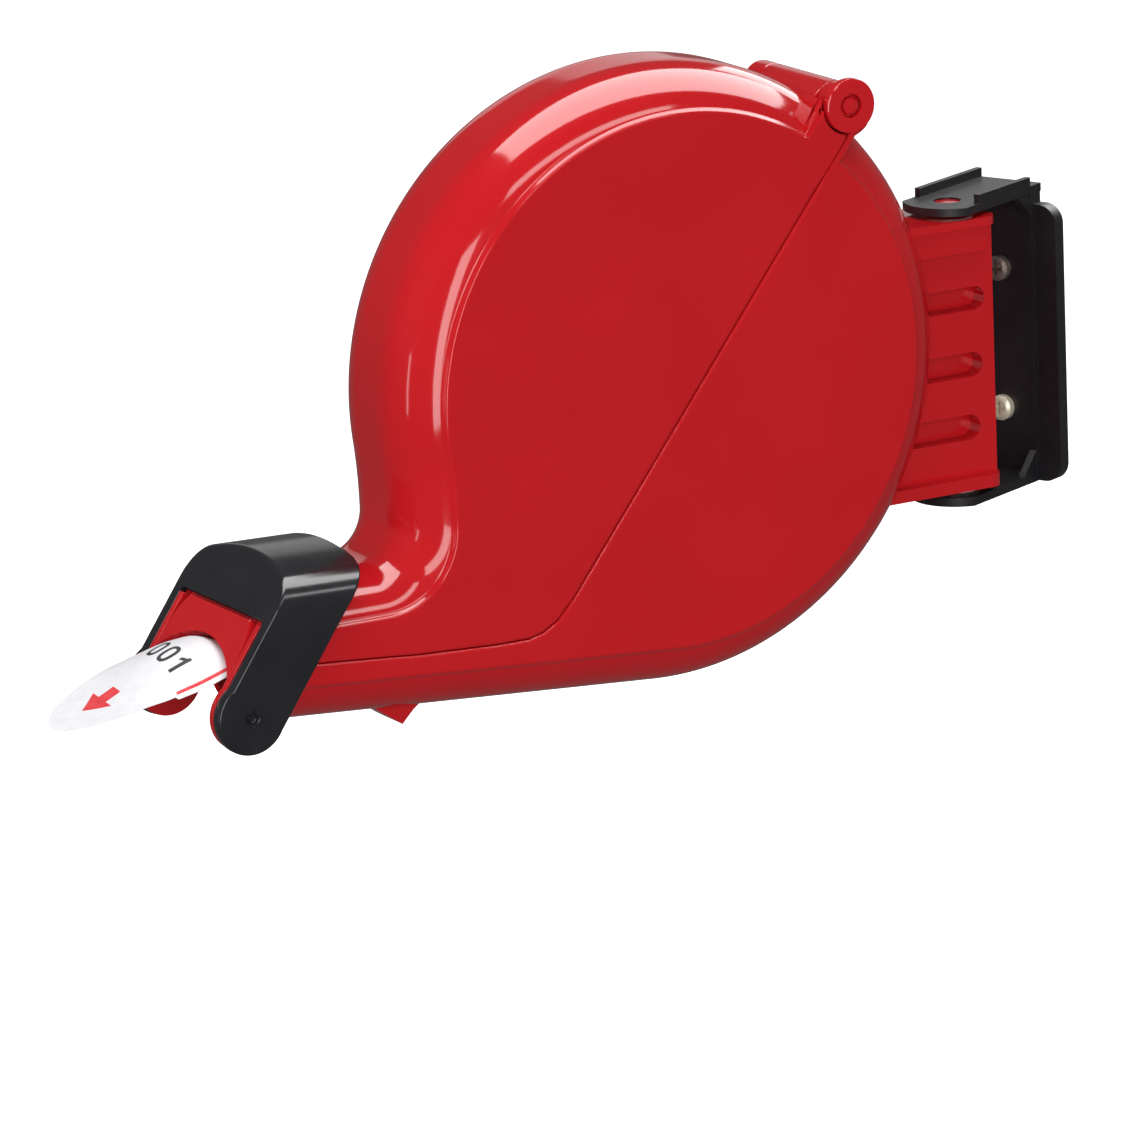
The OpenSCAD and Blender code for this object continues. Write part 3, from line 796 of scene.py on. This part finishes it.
softbox("overhead", (0.32, 0.02, 0.95), 1.0, 1.6, 0.8, 33, diffuse=False)
softbox("overhead_soft", (0.0, -0.1, 0.95), 1.2, 1.2, 1.0, 9.3, gloss=False)
softbox("left_strip", (-0.95, -0.24, -0.02), 1.2, 0.07, 0.35, 0.35, wide=(0, 1, 0), diffuse=False)
softbox("near_upright", (-0.45, -0.83, 0.12), 1.3, 0.28, 1.0, 5.4, wide=(1, 0, 0), diffuse=False)
softbox("near_level", (0.12, -0.75, 0.62), 1.3, 1.0, 0.16, 3.2, diffuse=False)
softbox("back_right", (0.75, 0.45, 0.42), 1.5, 0.5, 0.5, 4)
softbox("fill", (-0.30, -1.0, 0.16), 2.0, 1.4, 1.2, 26, gloss=False)
softbox("left_soft", (-1.0, -0.1, 0.3), 1.5, 1.0, 1.0, 8, wide=(0, 1, 0), gloss=False)
softbox("back_sheet", (0.5, 0.845, 0.30), 1.5, 1.2, 0.5, 1.1, diffuse=False)


def make_floor():
    me = bpy.data.meshes.new("floor")
    z, r = -0.30, 6.0
    me.from_pydata([(-r, -r, z), (r, -r, z), (r, r, z), (-r, r, z)], [], [(0, 1, 2, 3)])
    m, nt, b = tree("floor_pale")
    v = coords(nt)
    nt.links.new(two_tone(nt, noise(nt, v, 3.0, 2.0), (0.86, 0.86, 0.86), (0.88, 0.88, 0.88)), b.inputs["Base Color"])
    b.inputs["Roughness"].default_value = 0.9
    b.inputs["Specular IOR Level"].default_value = 0.1
    b.inputs["Emission Color"].default_value = (1, 1, 1, 1)
    b.inputs["Emission Strength"].default_value = 0.95
    me.materials.append(m)
    o = bpy.data.objects.new("floor", me)
    bpy.context.scene.collection.objects.link(o)
    o.visible_glossy = False
    o.visible_diffuse = False


make_floor()

world = bpy.data.worlds.new("studio")
bpy.context.scene.world = world
world.use_nodes = True
wt = world.node_tree
bg = wt.nodes["Background"]
bg.inputs["Color"].default_value = (0.98, 0.98, 1.0, 1)
bg.inputs["Strength"].default_value = 0.27
white = wt.nodes.new("ShaderNodeBackground")
white.inputs["Color"].default_value = (1, 1, 1, 1)
white.inputs["Strength"].default_value = 1.05
path = wt.nodes.new("ShaderNodeLightPath")
mixw = wt.nodes.new("ShaderNodeMixShader")
dim = wt.nodes.new("ShaderNodeBackground")
dim.inputs["Color"].default_value = (1, 1, 1, 1)
dim.inputs["Strength"].default_value = 0.13
mixg = wt.nodes.new("ShaderNodeMixShader")
wt.links.new(path.outputs["Is Glossy Ray"], mixg.inputs["Fac"])
wt.links.new(bg.outputs["Background"], mixg.inputs[1])
wt.links.new(dim.outputs["Background"], mixg.inputs[2])
wt.links.new(path.outputs["Is Camera Ray"], mixw.inputs["Fac"])
wt.links.new(mixg.outputs["Shader"], mixw.inputs[1])
wt.links.new(white.outputs["Background"], mixw.inputs[2])
wt.links.new(mixw.outputs["Shader"], wt.nodes["World Output"].inputs["Surface"])

bpy.context.scene.view_settings.view_transform = "Standard"
bpy.context.scene.view_settings.look = "None"
bpy.context.scene.view_settings.exposure = 0.0


def make_camera():
    az, el, ro = math.radians(-53.205), math.radians(14.550), math.radians(-2.305)
    back = Vector((math.sin(az) * math.cos(el), -math.cos(az) * math.cos(el), math.sin(el)))
    r = Vector((math.cos(az), math.sin(az), 0))
    u = back.cross(r)
    r2 = r * math.cos(ro) + u * math.sin(ro)
    u2 = -r * math.sin(ro) + u * math.cos(ro)
    cam = bpy.data.cameras.new("camera")
    cam.sensor_width, cam.lens, cam.sensor_fit = 36.0, 251.43, "AUTO"
    cam.clip_start, cam.clip_end = 0.1, 50.0
    o = bpy.data.objects.new("camera", cam)
    bpy.context.scene.collection.objects.link(o)
    o.matrix_world = Matrix.Translation((-2.03849, -1.34332, 0.56209)) @ Matrix((r2, u2, back)).transposed().to_4x4()
    bpy.context.scene.camera = o


make_camera()
